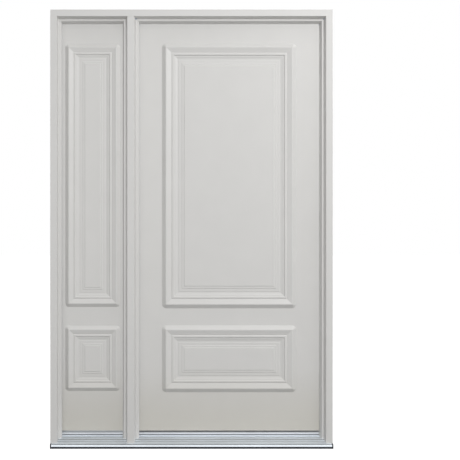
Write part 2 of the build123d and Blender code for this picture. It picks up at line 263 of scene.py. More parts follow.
@dataclass(frozen=True)
class PaintFinish:
    """Sprayed paint: a fine orange peel, a faint mottle, a soft sheen, and painted shade low down
    that makes it darker towards the bottom.
    """

    name: str
    colour: Colour
    tones: Band = (0.975, 1.025)
    roughness: Band = (0.40, 0.52)
    sheen_scale: float = 40.0
    peel_scale: float = 520.0
    peel_height: float = 0.05 * MM
    sag_scale: float = 9.0
    sag_height: float = 0.25 * MM
    foot_shade: Colour = (0.88, 0.86, 0.80)
    foot_shade_height: float = 0.42

    def material(self) -> bpy.types.Material:
        """Write the paint's material.

        Returns:
            The material.
        """
        surface = Surface(self.name)
        sag = surface.noise(self.sag_scale, 4.0)
        peel = surface.noise(self.peel_scale, 1.0)
        clean = surface.mottled(self.colour, self.tones, sag)
        # Painted shade: a warm grey is multiplied in towards the foot, so the paint is darker
        # towards the bottom.
        colour = surface.tint(clean, self.foot_shade, surface.low_down(self.foot_shade_height), "MULTIPLY")
        rough = surface.spread(surface.noise(self.sheen_scale, 3.0), *self.roughness)
        layers = ((sag, self.sag_height), (peel, self.peel_height))
        return surface.coat(colour, rough, layers, PAINT_SPECULAR)


@dataclass(frozen=True)
class CladFinish:
    """Drawn cladding on boards: paint with faint lines along their length."""

    name: str
    colour: Colour
    tones: Band = (0.975, 1.02)
    roughness: Band = (0.46, 0.56)
    line_scale: float = 260.0
    line_stretch: float = 0.012
    line_height: float = 0.004 * MM
    wave_scale: float = 6.0
    wave_height: float = 0.04 * MM

    def material(self) -> bpy.types.Material:
        """Write the cladding's material.

        Returns:
            The material.
        """
        surface = Surface(self.name)
        upright = surface.noise(self.line_scale, 2.0, (1.0, 1.0, self.line_stretch))
        level = surface.noise(self.line_scale, 2.0, (self.line_stretch, 1.0, 1.0))
        wave = surface.noise(self.wave_scale, 4.0)
        lines = surface.maths("MULTIPLY", upright, level)
        colour = surface.mottled(self.colour, self.tones, wave)
        rough = surface.spread(lines, *self.roughness)
        layers = ((wave, self.wave_height), (lines, self.line_height))
        return surface.coat(colour, rough, layers, PAINT_SPECULAR)


@dataclass(frozen=True)
class DrawnMetalFinish:
    """Extruded or brushed metal with fine lines along one axis, dull patches, and painted shade in
    its grooves.
    """

    name: str
    colour: Colour
    roughness: Band
    along: Triple
    metallic: float = 0.75
    line_scale: float = 900.0
    line_height: float = 0.06 * MM
    tones: Band = (0.88, 1.08)
    patch_scale: float = 14.0
    patch_stretch: Triple = (0.35, 1.0, 1.0)
    patch_share: float = 0.6
    groove_shade_tone: float = 0.22

    def material(self) -> bpy.types.Material:
        """Write the metal's material.

        Returns:
            The material.
        """
        surface = Surface(self.name)
        lines = surface.noise(self.line_scale, 3.0, self.along)
        patches = surface.noise(self.patch_scale, 5.0, self.patch_stretch)
        clean = surface.mottled(self.colour, self.tones, patches)
        # Painted shade: the mesh's groove layer darkens the colour where flutes and recesses would
        # lie in shade.
        groove_shade = surface.add("ShaderNodeAttribute", attribute_name=GROOVE_SHADE_ATTRIBUTE)
        colour = surface.tint(clean, shade(self.colour, self.groove_shade_tone), groove_shade.outputs["Fac"])
        surface.shader.inputs["Metallic"].default_value = self.metallic
        share = surface.maths("MULTIPLY", patches, self.patch_share)
        rough = surface.spread(surface.maths("ADD", lines, share), *self.roughness)
        return surface.coat(colour, rough, ((lines, self.line_height),))


@dataclass(frozen=True)
class MouldedFinish:
    """Moulded rubber or composite: a matt skin with a fine grain and lighter scuffs."""

    name: str
    colour: Colour
    scuff: Colour
    roughness: Band
    scuff_scale: float = 22.0
    grain_scale: float = 1400.0
    grain_height: float = 0.12 * MM
    specular: float = 0.3

    def material(self) -> bpy.types.Material:
        """Write the moulded material.

        Returns:
            The material.
        """
        surface = Surface(self.name)
        grain = surface.noise(self.grain_scale, 2.0)
        cloud = surface.maths("POWER", surface.noise(self.scuff_scale, 6.0), 3.0)
        colour = surface.tint(self.colour, self.scuff, cloud)
        rough = surface.spread(grain, *self.roughness)
        return surface.coat(colour, rough, ((grain, self.grain_height),), self.specular)


@dataclass(frozen=True)
class TimberFinish:
    """Primed softwood: a matt paint with the grain just showing through."""

    name: str
    colour: Colour
    grain: Colour
    along: Triple = (38.0, 38.0, 1.4)
    roughness: Band = (0.82, 0.98)
    fibre_scale: float = 6.0
    fibre_height: float = 0.15 * MM
    specular: float = 0.1

    def material(self) -> bpy.types.Material:
        """Write the timber's material.

        Returns:
            The material.
        """
        surface = Surface(self.name)
        rings = surface.noise(1.0, 6.0, self.along)
        fibre = surface.noise(self.fibre_scale, 3.0, self.along)
        colour = surface.tint(self.colour, self.grain, surface.maths("POWER", rings, 2.0))
        rough = surface.spread(fibre, *self.roughness)
        return surface.coat(colour, rough, ((fibre, self.fibre_height),), self.specular)


@dataclass(frozen=True)
class FoamFinish:
    """Rigid foam with closed cells, painted darker in their hollows as shade."""

    name: str
    colour: Colour
    cell_scale: float = 420.0
    cell_depth: float = 0.6 * MM
    tones: Band = (0.82, 1.0)
    roughness: float = 0.9

    def material(self) -> bpy.types.Material:
        """Write the foam's material.

        Returns:
            The material.
        """
        surface = Surface(self.name)
        inputs = {"Vector": surface.places, "Scale": self.cell_scale}
        edge = surface.add("ShaderNodeTexVoronoi", inputs).outputs["Distance"]
        # Painted shade: the colour is darker towards each cell's middle, where the bump sinks into
        # a hollow.
        colour = surface.mottled(self.colour, self.tones, edge)
        return surface.coat(colour, self.roughness, ((edge, self.cell_depth),))


ALONG_X = (0.01, 1.0, 1.0)
ALONG_Z = (1.0, 1.0, 0.02)

FINISHES = {
    Slot.FRAME_PAINT: CladFinish("frame_cladding_paint", (0.614, 0.608, 0.595)),
    Slot.SLAB_PAINT: PaintFinish("slab_satin_paint", (0.612, 0.606, 0.592)),
    Slot.EDGE_TIMBER: TimberFinish("primed_edge_timber", (0.62, 0.61, 0.58), (0.50, 0.46, 0.39)),
    Slot.FOAM_CORE: FoamFinish("insulating_foam", (0.70, 0.62, 0.38)),
    Slot.SILL_METAL: DrawnMetalFinish(
        "mill_aluminium_tread", (0.79, 0.84, 0.89), (0.30, 0.52), ALONG_X
    ),
    Slot.THRESHOLD_METAL: DrawnMetalFinish(
        "mill_aluminium_threshold", (0.61, 0.635, 0.665), (0.32, 0.54), ALONG_X
    ),
    Slot.SILL_COMPOSITE: MouldedFinish(
        "dark_sill_composite", (0.005, 0.006, 0.011), (0.013, 0.014, 0.021), (0.62, 0.87)
    ),
    Slot.WEATHERSTRIP: MouldedFinish(
        "blue_grey_weatherstrip", (0.34, 0.355, 0.375), (0.40, 0.42, 0.445), (0.62, 0.87)
    ),
    Slot.SWEEP_RUBBER: MouldedFinish(
        "black_sweep_vinyl", (0.03, 0.03, 0.033), (0.06, 0.06, 0.064), (0.45, 0.70)
    ),
    Slot.HINGE_STEEL: DrawnMetalFinish(
        "satin_hinge_steel", (0.42, 0.41, 0.39), (0.20, 0.42), ALONG_Z,
        metallic=0.95, line_scale=1300.0, line_height=0.03 * MM,
    ),
}
SEALANT = MouldedFinish(
    "blue_grey_sealant", (0.17, 0.22, 0.34), (0.24, 0.29, 0.40), (0.45, 0.70)
)


class Workshop:
    """Holds the materials, and turns meshes into finished pieces."""

    def __init__(self) -> None:
        """Write every finish once."""
        self.materials = {slot: finish.material() for slot, finish in FINISHES.items()}

    def dress_nodes(self) -> None:
        """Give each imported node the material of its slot."""
        slots = {part["node"]: part["material_slot"] for part in frame["record"]["subparts"]}
        for node, piece in frame["nodes"].items():
            material = self.materials[Slot(slots[node])]
            piece.data.materials.clear()
            piece.data.materials.append(material)

    def piece(
        self,
        name: str,
        mesh: bpy.types.Mesh,
        slot: Slot,
        body: Body,
        stands_for: Iterable[str] = (),
    ) -> bpy.types.Object:
        """Hand over a finished mesh as a piece of the object.

        Args:
            name: the piece's name.
            mesh: its mesh, in place, with sharp edges unmarked.
            slot: the slot its finish comes from.
            body: the body it rides on.
            stands_for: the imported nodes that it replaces.

        Returns:
            The piece's object.
        """
        mesh.materials.clear()
        mesh.materials.append(self.materials[slot])
        mesh.shade_smooth()
        mesh.set_sharp_from_angle(angle=SHARP_ANGLE)
        thing = new_object(name, mesh)
        thing.modifiers.new("even_normals", "WEIGHTED_NORMAL").keep_sharp = True
        settle(thing)
        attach(thing, body.value)
        nodes = tuple(stands_for)
        if nodes:
            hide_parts(*nodes)
        LOG.info("%s: %d faces on %s", name, len(thing.data.polygons), body.value)
        return thing

    def eased(self, node: str, radius: float, slot: Slot, body: Body) -> None:
        """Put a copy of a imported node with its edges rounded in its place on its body."""
        self.piece(f"{node}_eased", eased_copy(node, radius), slot, body, (node,))


def new_object(name: str, mesh: bpy.types.Mesh) -> bpy.types.Object:
    """Put a mesh in the scene.

    Args:
        name: the object's name, which the mesh gets too.
        mesh: the mesh.

    Returns:
        The object.
    """
    mesh.name = name
    thing = bpy.data.objects.new(name, mesh)
    bpy.context.scene.collection.objects.link(thing)
    return thing


def settle(thing: bpy.types.Object) -> None:
    """Turn what an object's modifiers make into its own plain mesh.

    Args:
        thing: the object, which has no modifiers afterwards.
    """
    bpy.context.view_layer.update()
    depsgraph = bpy.context.evaluated_depsgraph_get()
    mesh = bpy.data.meshes.new_from_object(thing.evaluated_get(depsgraph))
    thing.modifiers.clear()
    thing.data = mesh
    mesh.name = thing.name


def mesh_left(thing: bpy.types.Object) -> bpy.types.Mesh:
    """Settle a helper object and remove it.

    Args:
        thing: the object.

    Returns:
        The mesh that it leaves.
    """
    settle(thing)
    mesh = thing.data
    bpy.data.objects.remove(thing)
    return mesh


def mesh_from(shape: bmesh.types.BMesh, name: str) -> bpy.types.Mesh:
    """Make a mesh from what bmesh holds, and let go of that.

    Args:
        shape: what bmesh holds.
        name: the mesh's name.

    Returns:
        The mesh.
    """
    mesh = bpy.data.meshes.new(name)
    shape.to_mesh(mesh)
    shape.free()
    return mesh


def arc(centre: Point, radius: float, start: float, end: float, steps: int) -> list[Point]:
    """Points along an arc.

    Args:
        centre: its centre.
        radius: its radius.
        start: the angle it starts at, in degrees.
        end: the angle it ends at, in degrees.
        steps: how many runs it is divided into.

    Returns:
        The points, both ends included.
    """
    points = []
    for step in range(steps + 1):
        angle = math.radians(start + (end - start) * step / steps)
        x = centre[0] + radius * math.cos(angle)
        points.append((x, centre[1] + radius * math.sin(angle)))
    return points


def eased(corners: Sequence[tuple[float, float, float]], steps: int = 4) -> list[Point]:
    """A closed outline with its corners rounded.

    Args:
        corners: each corner's two coordinates and its radius.
        steps: how many runs a rounded corner has.

    Returns:
        The points of the outline.
    """
    points: list[Point] = []
    for number, (x, y, radius) in enumerate(corners):
        here = Vector((x, y))
        if radius <= 0:
            points.append((x, y))
            continue
        before = Vector(corners[number - 1][:2]) - here
        after = Vector(corners[(number + 1) % len(corners)][:2]) - here
        turn = before.angle(after)
        reach = radius / math.tan(turn / 2)
        start = here + before.normalized() * reach
        end = here + after.normalized() * reach
        middle = here + (before.normalized() + after.normalized()).normalized() * (
            radius / math.sin(turn / 2)
        )
        first = start - middle
        sweep = first.angle_signed(end - middle)
        for step in range(steps + 1):
            angle = -sweep * step / steps
            cosine, sine = math.cos(angle), math.sin(angle)
            spoke = Vector((first.x * cosine - first.y * sine, first.x * sine + first.y * cosine))
            points.append(tuple(middle + spoke))
    return points


def run_of(section: Sequence[Point], stations: Sequence[Station]) -> bpy.types.Mesh:
    """Lay a section along a run of stations, mitred wherever a station is slanted.

    Args:
        section: the closed outline, as distance in from the run's outer line and depth.
        stations: what places a point of the section at each station.

    Returns:
        The mesh of the run, with its ends filled.
    """
    shape = bmesh.new()
    rings = [[shape.verts.new(station(*point)) for point in section] for station in stations]
    for here, there in zip(rings, rings[1:]):
        for number in range(len(section)):
            beside = (number + 1) % len(section)
            shape.faces.new((here[number], here[beside], there[beside], there[number]))
    shape.faces.new(reversed(rings[0]))
    shape.faces.new(rings[-1])
    bmesh.ops.recalc_face_normals(shape, faces=shape.faces)
    return mesh_from(shape, "run")


def upright_foot(x: float, inwards: int, foot: Ground) -> Station:
    """A board's foot on the ground at x, its section running towards +X for 1, -X for -1."""
    return lambda u, y: Vector((x + inwards * u, y, foot(y)))


def corner(x: float, z: float, right: int, up: int) -> Station:
    """A mitred corner at x and z, from where the section runs right or up for 1, back for -1."""
    return lambda u, y: Vector((x + right * u, y, z + up * u))


def arch_of(nodes: Sequence[str], section: Sequence[Point], foot: Ground) -> bpy.types.Mesh:
    """Lay a section up the left side of an opening, across its head and down its right side.

    Args:
        nodes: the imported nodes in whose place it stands, from left to right.
        section: the closed outline, as distance in from the opening's outer line and depth.
        foot: the height of the ground under it at a depth.

    Returns:
        The mesh of the run.
    """
    boxes = [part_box(node) for node in nodes]
    left, right = boxes[0][0].x, boxes[-1][1].x
    top = max(high.z for _, high in boxes)
    return run_of(
        section,
        [
            upright_foot(left, 1, foot),
            corner(left, top, 1, -1),
            corner(right, top, -1, -1),
            upright_foot(right, -1, foot),
        ],
    )


def level_end(x: float) -> Station:
    """An end at x of a straight run along X, for a section in depth and height."""
    return lambda depth, height: Vector((x, depth, height))


@dataclass
class SillPlane:
    """The slope that the frame's feet stand on, in metres."""

    rise: float = 23.0 * MM
    slope: float = 0.146
    end: float = 94.0 * MM

    def height(self, depth: float) -> float:
        """Height of the tread's surface, or of the shelf behind it, at a depth."""
        return self.rise + self.slope * min(depth, self.end)


@dataclass
class Surround:
    """Jambs, head, mullion and stops, each run mitred and with eased edges."""

    workshop: Workshop
    sill: SillPlane
    edge: float = 1.4 * MM
    cover_front: float = 32.0 * MM
    rake_width: float = 6.5 * MM
    rake_depth: float = 10.0 * MM
    rake_edge: float = 1.6 * MM
    cove: float = 2.5 * MM
    cove_steps: int = 5
    rebate: float = 0.8 * MM
    back_edge: float = 0.8 * MM

    def build(self) -> None:
        """Make the boards, the mullion and the stops."""
        self.build_boards()
        self.build_mullion()
        self.build_stops()

    def board_section(self, thickness: float, front: float, back: float) -> list[Point]:
        """A board's section between two depths, with its four edges eased."""
        places = ((0.0, front), (thickness, front), (thickness, back), (0.0, back))
        return eased([(*place, self.edge) for place in places])

    def build_boards(self) -> None:
        """Make jambs and head as one mitred run, with the hinge mortises cut."""
        nodes = ("left_jamb", "head_jamb", "right_jamb")
        low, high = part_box("left_jamb")
        section = self.board_section(high.x - low.x, low.y, high.y)
        boards = new_object("boards_blank", arch_of(nodes, section, self.sill.height))
        cutter = new_object("mortise_cutter", self.mortises())
        cut = boards.modifiers.new("mortises", "BOOLEAN")
        cut.operation = "DIFFERENCE"
        cut.object = cutter
        mesh = mesh_left(boards)
        bpy.data.objects.remove(cutter)
        self.workshop.piece("frame_surround", mesh, Slot.FRAME_PAINT, Body.FRAME, nodes)

    def mortises(self) -> bpy.types.Mesh:
        """Boxes that cut the hinge leaves' beds into the right jamb.

        Returns:
            The mesh with all of them.
        """
        shape = bmesh.new()
        for low, high in Hinges.leaf_boxes("hinge_frame_leaves"):
            add_box(shape, low, high)
        return mesh_from(shape, "mortises")

    def build_mullion(self) -> None:
        """Make the post between the slabs and the tapered board on its front."""
        low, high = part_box("mullion_post")
        self.build_upright("mullion_post", self.board_section(high.x - low.x, low.y, high.y))
        low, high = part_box("mullion_cover")
        width = high.x - low.x
        taper = (width - self.cover_front) / 2
        cover = eased(
            [
                (taper, low.y, self.edge),
                (width - taper, low.y, self.edge),
                (width, high.y, 0.0),
                (0.0, high.y, 0.0),
            ]
        )
        self.build_upright("mullion_cover", cover)

    def build_upright(self, node: str, section: Sequence[Point]) -> None:
        """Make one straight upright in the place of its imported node.

        Args:
            node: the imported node.
            section: the board's outline in plan.
        """
        low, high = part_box(node)
        stations = [
            upright_foot(low.x, 1, self.sill.height),
            upright_foot(low.x, 1, lambda depth: high.z),
        ]
        run = run_of(section, stations)
        self.workshop.piece(f"{node}_eased", run, Slot.FRAME_PAINT, Body.FRAME, (node,))

    def stop_section(self, width: float, front: float, back: float) -> list[Point]:
        """A stop's outline: coved where it meets the board, raked at its free front corner.

        Args:
            width: how far it stands out from the board.
            front: where it starts in depth.
            back: where it ends in depth.

        Returns:
            The outline.
        """
        outline = [(-self.rebate, back), (-self.rebate, front - self.cove)]
        outline += arc((self.cove, front - self.cove), self.cove, 180.0, 90.0, self.cove_steps)
        free_side = eased(
            [
                (self.cove, front, 0.0),
                (width - self.rake_width, front, self.rake_edge),
                (width, front + self.rake_depth, self.rake_edge),
                (width, back, self.back_edge),
                (-self.rebate, back, 0.0),
            ]
        )
        return outline + free_side[1:-1]

    def build_stops(self) -> None:
        """Make the stops round each slab as one mitred run."""
        sets = {
            "door": ("mullion_door_stop", "head_door_stop", "right_stop"),
            "sidelight": ("left_stop", "head_sidelight_stop", "mullion_sidelight_stop"),
        }
        for slab, nodes in sets.items():
            low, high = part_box(nodes[0])
            section = self.stop_section(high.x - low.x, low.y, high.y)
            run = arch_of(nodes, section, self.sill.height)
            self.workshop.piece(f"{slab}_stops", run, Slot.FRAME_PAINT, Body.FRAME, nodes)


def add_box(shape: bmesh.types.BMesh, low: Vector, high: Vector) -> None:
    """Add a closed box to a mesh being made.

    Args:
        shape: the mesh.
        low: the box's lowest corner.
        high: its highest corner.
    """
    xs, ys, zs = (low.x, high.x), (low.y, high.y), (low.z, high.z)
    places = [(x, y, z) for x in xs for y in ys for z in zs]
    corners = [shape.verts.new(place) for place in places]
    sides = ((0, 1, 3, 2), (4, 6, 7, 5), (0, 4, 5, 1), (2, 3, 7, 6), (0, 2, 6, 4), (1, 5, 7, 3))
    for side in sides:
        shape.faces.new([corners[number] for number in side])


@dataclass
class Seals:
    """Weatherstrips round the door and the sidelight's bedding."""

    workshop: Workshop
    nose: float = 3.2 * MM
    back: float = 0.4 * MM

    def strip_section(self, width: float, front: float, depth: float) -> list[Point]:
        """A bulb's section: flat where it sits in the stop, round towards the slab.

        Args:
            width: how wide the strip is.
            front: where it starts in depth.
            depth: where its nose ends.

        Returns:
            The outline.
        """
        return eased(
            [
                (0.0, front, self.back),
                (width, front, self.back),
                (width, depth, self.nose),
                (0.0, depth, self.nose),
            ],
            steps=8,
        )

    def build(self) -> None:
        """Make both sets of seals."""
        nodes = ("latch_side_weatherstrip", "head_weatherstrip", "hinge_side_weatherstrip")
        self.lay("door_weatherstrip", nodes)
        self.lay("sidelight_bedding", ("sidelight_seal",))

    def lay(self, name: str, nodes: tuple[str, ...]) -> None:
        """Lay one strip round a slab, as wide as the one on the latch side.

        Args:
            name: the piece's name.
            nodes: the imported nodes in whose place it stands, from left to right.
        """
        left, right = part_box("latch_side_weatherstrip")
        low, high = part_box(nodes[0])
        section = self.strip_section(right.x - left.x, low.y, high.y)
        run = arch_of(nodes, section, lambda depth: low.z)
        self.workshop.piece(name, run, Slot.WEATHERSTRIP, Body.FRAME, nodes)


@dataclass
class SealantDabs:
    """Dabs of blue-grey sealant in the top corners of the doorway."""

    workshop: Workshop
    corner_size: Triple = (3.2 * MM, 7.0 * MM, 4.6 * MM)
    corner_depth: float = 47.0 * MM
    pad_size: Triple = (2.6 * MM, 2.4 * MM, 8.0 * MM)
    pad_depth: float = 93.5 * MM
    pad_inset: float = 13.5 * MM
    pad_drop: float = 15.0 * MM

    def build(self) -> None:
        """Set one dab in each corner before the stops and one pad behind them."""
        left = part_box("mullion_cover")[1].x
        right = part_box("right_jamb")[0].x
        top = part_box("head_jamb")[0].z
        shape = bmesh.new()
        for side, inwards in ((left, 1), (right, -1)):
            self.dab(shape, (side, self.corner_depth, top), self.corner_size)
            pad = (side + inwards * self.pad_inset, self.pad_depth, top - self.pad_drop)
            self.dab(shape, pad, self.pad_size)
        mesh = mesh_from(shape, "sealant")
        thing = self.workshop.piece("corner_sealant", mesh, Slot.WEATHERSTRIP, Body.FRAME)
        thing.data.materials[0] = SEALANT.material()

    @staticmethod
    def dab(shape: bmesh.types.BMesh, place: Triple, size: Triple) -> None:
        """Add one rounded dab.

        Args:
            shape: the mesh that gets it.
            place: its middle.
            size: its half size along X, Y and Z.
        """
        ball = bmesh.ops.create_icosphere(shape, subdivisions=3, radius=1.0)
        bmesh.ops.scale(shape, vec=size, verts=ball["verts"])
        bmesh.ops.translate(shape, vec=place, verts=ball["verts"])


@dataclass
class Sill:
    """The aluminium tread, a fluted slope with a rounded nose, and the thresholds on its shelf,
    with painted shade in the flutes, the reveal and the sidelight's gap.
    """

    workshop: Workshop
    plane: SillPlane
    nose: float = -15.0 * MM
    nose_drop: float = 11.4 * MM
    thickness: float = 3.0 * MM
    nose_sink: float = 1.9 * MM
    nose_round: float = 1.1 * MM
    lip_round: float = 0.8 * MM
    flutes: tuple[Point, ...] = (
        (-12.0 * MM, 8.0 * MM), (22.0 * MM, 5.0 * MM), (46.0 * MM, 6.0 * MM), (70.0 * MM, 5.0 * MM)
    )
    flute_depth: float = 2.2 * MM
    flute_steps: int = 12
    reveal_height: float = 7.5 * MM
    reveal_width: float = 4.0 * MM
    reveal_depth: float = 4.0 * MM
    packer_setback: float = 6.0 * MM
    packer_shade: float = 0.45
    threshold_round: float = 4.0 * MM
    back_round: float = 1.5 * MM
    packer_round: float = 0.6 * MM
    reveal_round: float = 0.4 * MM
    round_steps: int = 6

    def build(self) -> None:
        """Make the tread and both thresholds."""
        self.build_tread()
        self.build_threshold("door_threshold")
        self.build_threshold("sidelight_threshold")

    def lay(
        self, node: str, ending: str, slot: Slot, outline: list[Point], darks: list[float]
    ) -> None:
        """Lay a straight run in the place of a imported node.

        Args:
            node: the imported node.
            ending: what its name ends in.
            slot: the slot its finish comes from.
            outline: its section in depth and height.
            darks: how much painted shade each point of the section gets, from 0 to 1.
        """
        low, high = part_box(node)
        mesh = run_of(outline, [level_end(low.x), level_end(high.x)])
        # Painted shade: each point's amount goes into the mesh layer that darkens the metal.
        painted_shade_layer = mesh.attributes.new(GROOVE_SHADE_ATTRIBUTE, "FLOAT", "POINT")
        painted_shade_layer.data.foreach_set("value", darks * 2)
        self.workshop.piece(f"{node}_{ending}", mesh, slot, Body.FRAME, (node,))

    def top_line(self) -> list[Triple]:
        """The slope with its flutes, from the back to the nose.

        Returns:
            Its points in depth and height, each with how deep in a flute it lies, up to 1, which is
            also how much painted shade it gets.
        """
        points = [(self.plane.end, self.plane.height(self.plane.end), 0.0)]
        for middle, half_width in reversed(self.flutes):
            for step in range(self.flute_steps + 1):
                along = 1.0 - 2.0 * step / self.flute_steps
                depth = middle + along * half_width
                dip = 1.0 - along * along
                if depth > self.nose + self.nose_round:
                    points.append((depth, self.plane.height(depth) - self.flute_depth * dip, dip))
        return points

    def build_tread(self) -> None:
        """Make the tread between its end caps."""
        nose_top = self.plane.height(self.nose)
        inner = self.nose + self.thickness
        lip = eased(
            [
                (self.nose, nose_top - self.nose_sink, self.nose_round),
                (self.nose, nose_top - self.nose_drop, self.lip_round),
                (inner, nose_top - self.nose_drop, self.lip_round),
                (inner, self.plane.height(inner) - self.thickness, 0.0),
                (self.plane.end, self.plane.height(self.plane.end) - self.thickness, 0.0),
            ],
            self.round_steps,
        )
        top = self.top_line()
        outline = [point[:2] for point in top] + lip
        darks = [point[2] for point in top] + [0.0] * len(lip)
        self.lay("sill_tread", "fluted", Slot.SILL_METAL, outline, darks)

    def build_threshold(self, node: str) -> None:
        """Make one threshold with its rounded nosing and the reveal below it.

        Args:
            node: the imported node.
        """
        low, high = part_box(node)
        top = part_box("door_threshold")[1].z
        reveal_low = low.z + self.reveal_height - self.reveal_width
        reveal_top = reveal_low + self.reveal_width
        reveal_back = low.y + self.reveal_depth
        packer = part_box("sidelight_stiles")[0].y + self.packer_setback
        packed = high.z > top + TINY
        corners = [
            (low.y, low.z, 0.0),
            (low.y, reveal_low, self.reveal_round),
            (reveal_back, reveal_low + self.reveal_round, 0.0),
            (reveal_back, reveal_top, 0.0),
            (low.y, reveal_top, self.reveal_round),
            (low.y, top, self.threshold_round),
        ]
        if packed:
            corners += [(packer, top, 0.0), (packer, high.z, 0.0)]
            corners.append((high.y, high.z, self.packer_round))
        else:
            corners.append((high.y, top, self.back_round))
        corners.append((high.y, low.z, 0.0))
        outline = eased(corners, self.round_steps)
        # Painted shade: the reveal's back face is darkened fully, and the packer face in the
        # sidelight's gap by packer_shade.
        darks = []
        for depth, height in outline:
            dark = 1.0 if abs(depth - reveal_back) < TINY and height < top - TINY else 0.0
            if packed and height > top - TINY and depth > packer - TINY:
                dark = self.packer_shade
            darks.append(dark)
        self.lay(node, "nosed", Slot.THRESHOLD_METAL, outline, darks)


@dataclass(frozen=True)
class MouldingProfile:
    """The moulding's section, from its outer edge inwards, in metres."""

    scale: float = 1.0
    foot_inset: float = 3.5 * MM
    edge_rise: float = 1.0 * MM
    slope_width: float = 23.5 * MM
    slope_hollow: float = 1.1
    slope_steps: int = 5
    crest_rise: float = 15.5 * MM
    crest_round: float = 8.6 * MM
    band_width: float = 27.5 * MM
    band_drop: float = 9.0 * MM
    bead_run_up: float = 3.5 * MM
    bead_rise: float = 2.5 * MM
    bead_top: float = 7.0 * MM
    bead_run_down: float = 4.5 * MM
    ledge_rise: float = 4.5 * MM
    ledge_width: float = 4.0 * MM
    cove_width: float = 15.5 * MM
    cove_floor: float = 1.0 * MM
    riser_run: float = 1.8 * MM
    steps: tuple[Point, ...] = ((1.1 * MM, 14.0 * MM), (1.8 * MM, 9.5 * MM), (2.2 * MM, 3.6 * MM))
    arris: float = 0.7 * MM
    crest_share: float = 0.9
    edge_share: float = 0.45
    crest_steps: int = 8
    edge_steps: int = 3
    cove_steps: int = 8
    least_bend: float = math.radians(12.0)
    outer_corner: float = 25.0 * MM
    inner_corner: float = 1.2 * MM

    def cove_points(self, start: float) -> list[Point]:
        """The cove's hollow, which runs out level on its floor.

        Args:
            start: where it starts, from the outer edge.

        Returns:
            Its points.
        """
        drop = self.ledge_rise - self.cove_floor
        radius = (self.cove_width**2 + drop**2) / (2 * drop)
        centre = (start + self.cove_width, self.cove_floor + radius)
        first = 270.0 - math.degrees(math.asin(self.cove_width / radius))
        return arc(centre, radius, first, 270.0, self.cove_steps)

    def line(self) -> list[Point]:
        """The whole section with sharp corners.

        Returns:
            Its points, from the outer foot to the field.
        """
        foot = self.foot_inset
        points = [(foot, 0.0)]
        for step in range(self.slope_steps + 1):
            part = step / self.slope_steps
            lift = (self.crest_rise - self.edge_rise) * part**self.slope_hollow
            points.append((foot + (self.slope_width - foot) * part, self.edge_rise + lift))
        reach = self.slope_width + self.band_width
        rise = self.crest_rise - self.band_drop
        points.append((reach, rise))
        rise += self.bead_rise
        points.append((reach + self.bead_run_up, rise))
        reach += self.bead_run_up + self.bead_top
        points.append((reach, rise))
        reach += self.bead_run_down
        points.append((reach, self.ledge_rise))
        reach += self.ledge_width
        points.extend(self.cove_points(reach))
        reach += self.cove_width
        rise = self.cove_floor
        for riser, tread in self.steps:
            reach += self.riser_run
            rise += riser
            points.append((reach, rise))
            reach += tread
            points.append((reach, rise))
        return [(u * self.scale, h * self.scale) for u, h in points]

    def softened(self) -> list[Point]:
        """The section with its crest well rounded and its other corners slightly.

        Returns:
            The points, whose ends stay as they are.
        """
        line = self.line()
        points = [line[0]]
        crest = self.slope_width * self.scale
        for before, here, after in zip(line, line[1:], line[2:]):
            back, ahead = Vector(before) - Vector(here), Vector(after) - Vector(here)
            bend = math.pi - back.angle(ahead)
            if bend < self.least_bend:
                points.append(here)
                continue
            radius, count, share = self.arris, self.edge_steps, self.edge_share
            if abs(here[0] - crest) < TINY:
                radius, count, share = self.crest_round, self.crest_steps, self.crest_share
            reach = min(
                radius * self.scale * math.tan(bend / 2),
                share * back.length,
                self.edge_share * ahead.length,
            )
            start = Vector(here) + back.normalized() * reach
            end = Vector(here) + ahead.normalized() * reach
            for step in range(count + 1):
                part = step / count
                bent = start.lerp(Vector(here), part).lerp(Vector(here).lerp(end, part), part)
                points.append(tuple(bent))
        points.append(line[-1])
        return points

    def rings(self) -> list[Triple]:
        """The rings that the moulding is laid from.

        Returns:
            Inset, height and corner radius of each ring, from the back to the field.
        """
        points = self.softened()
        reach = points[-1][0]
        slope_end = self.slope_width * self.scale
        rings = [(reach, 0.0, 0.0)]
        for u, h in points:
            part = min(1.0, u / slope_end)
            round_off = self.outer_corner + (self.inner_corner - self.outer_corner) * part
            rings.append((u, h, round_off * self.scale))
        rings.append((reach, points[-1][1], 0.0))
        return rings


class PieceTree(NodeSheet):
    """A Geometry Nodes tree that makes pieces from points, with named inputs for its sizes."""

    NAME = ""
    POINTS = ""
    INPUTS: dict[str, str] = {}

    def __init__(self) -> None:
        """Write the tree, which ends in plain meshes with their material."""
        tree = bpy.data.node_groups.new(self.NAME, "GeometryNodeTree")
        super().__init__(tree)
        sockets = {self.POINTS: "Geometry", **self.INPUTS, "Material": "Material"}
        for name, kind in sockets.items():
            tree.interface.new_socket(name, in_out="INPUT", socket_type=f"NodeSocket{kind}")
        tree.interface.new_socket("Pieces", in_out="OUTPUT", socket_type="NodeSocketGeometry")
        self.given = self.add("NodeGroupInput").outputs
        real = self.add("GeometryNodeRealizeInstances", {0: self.pieces()})
        dressing = {0: real.outputs[0], "Material": self.given["Material"]}
        dress = self.add("GeometryNodeSetMaterial", dressing)
        self.add("NodeGroupOutput", {0: dress.outputs[0]})

    def pieces(self) -> Socket:
        """Write what is special to the tree, and give the output with its pieces."""
        raise NotImplementedError

    def run(self, points: Sequence[Triple], values: dict[str, object]) -> bpy.types.Mesh:
        """Run the tree on points and keep its result as a plain mesh.

        Args:
            points: the points.
            values: the tree's inputs by their names.

        Returns:
            The mesh.
        """
        blank = bpy.data.meshes.new(self.NAME)
        blank.from_pydata(points, [], [])
        thing = new_object(f"{self.NAME}_blank", blank)
        modifier = thing.modifiers.new(self.NAME, "NODES")
        modifier.node_group = self.tree
        for item in self.tree.interface.items_tree:
            if item.in_out == "INPUT" and item.name in values:
                modifier[item.identifier] = values[item.name]
        return mesh_left(thing)


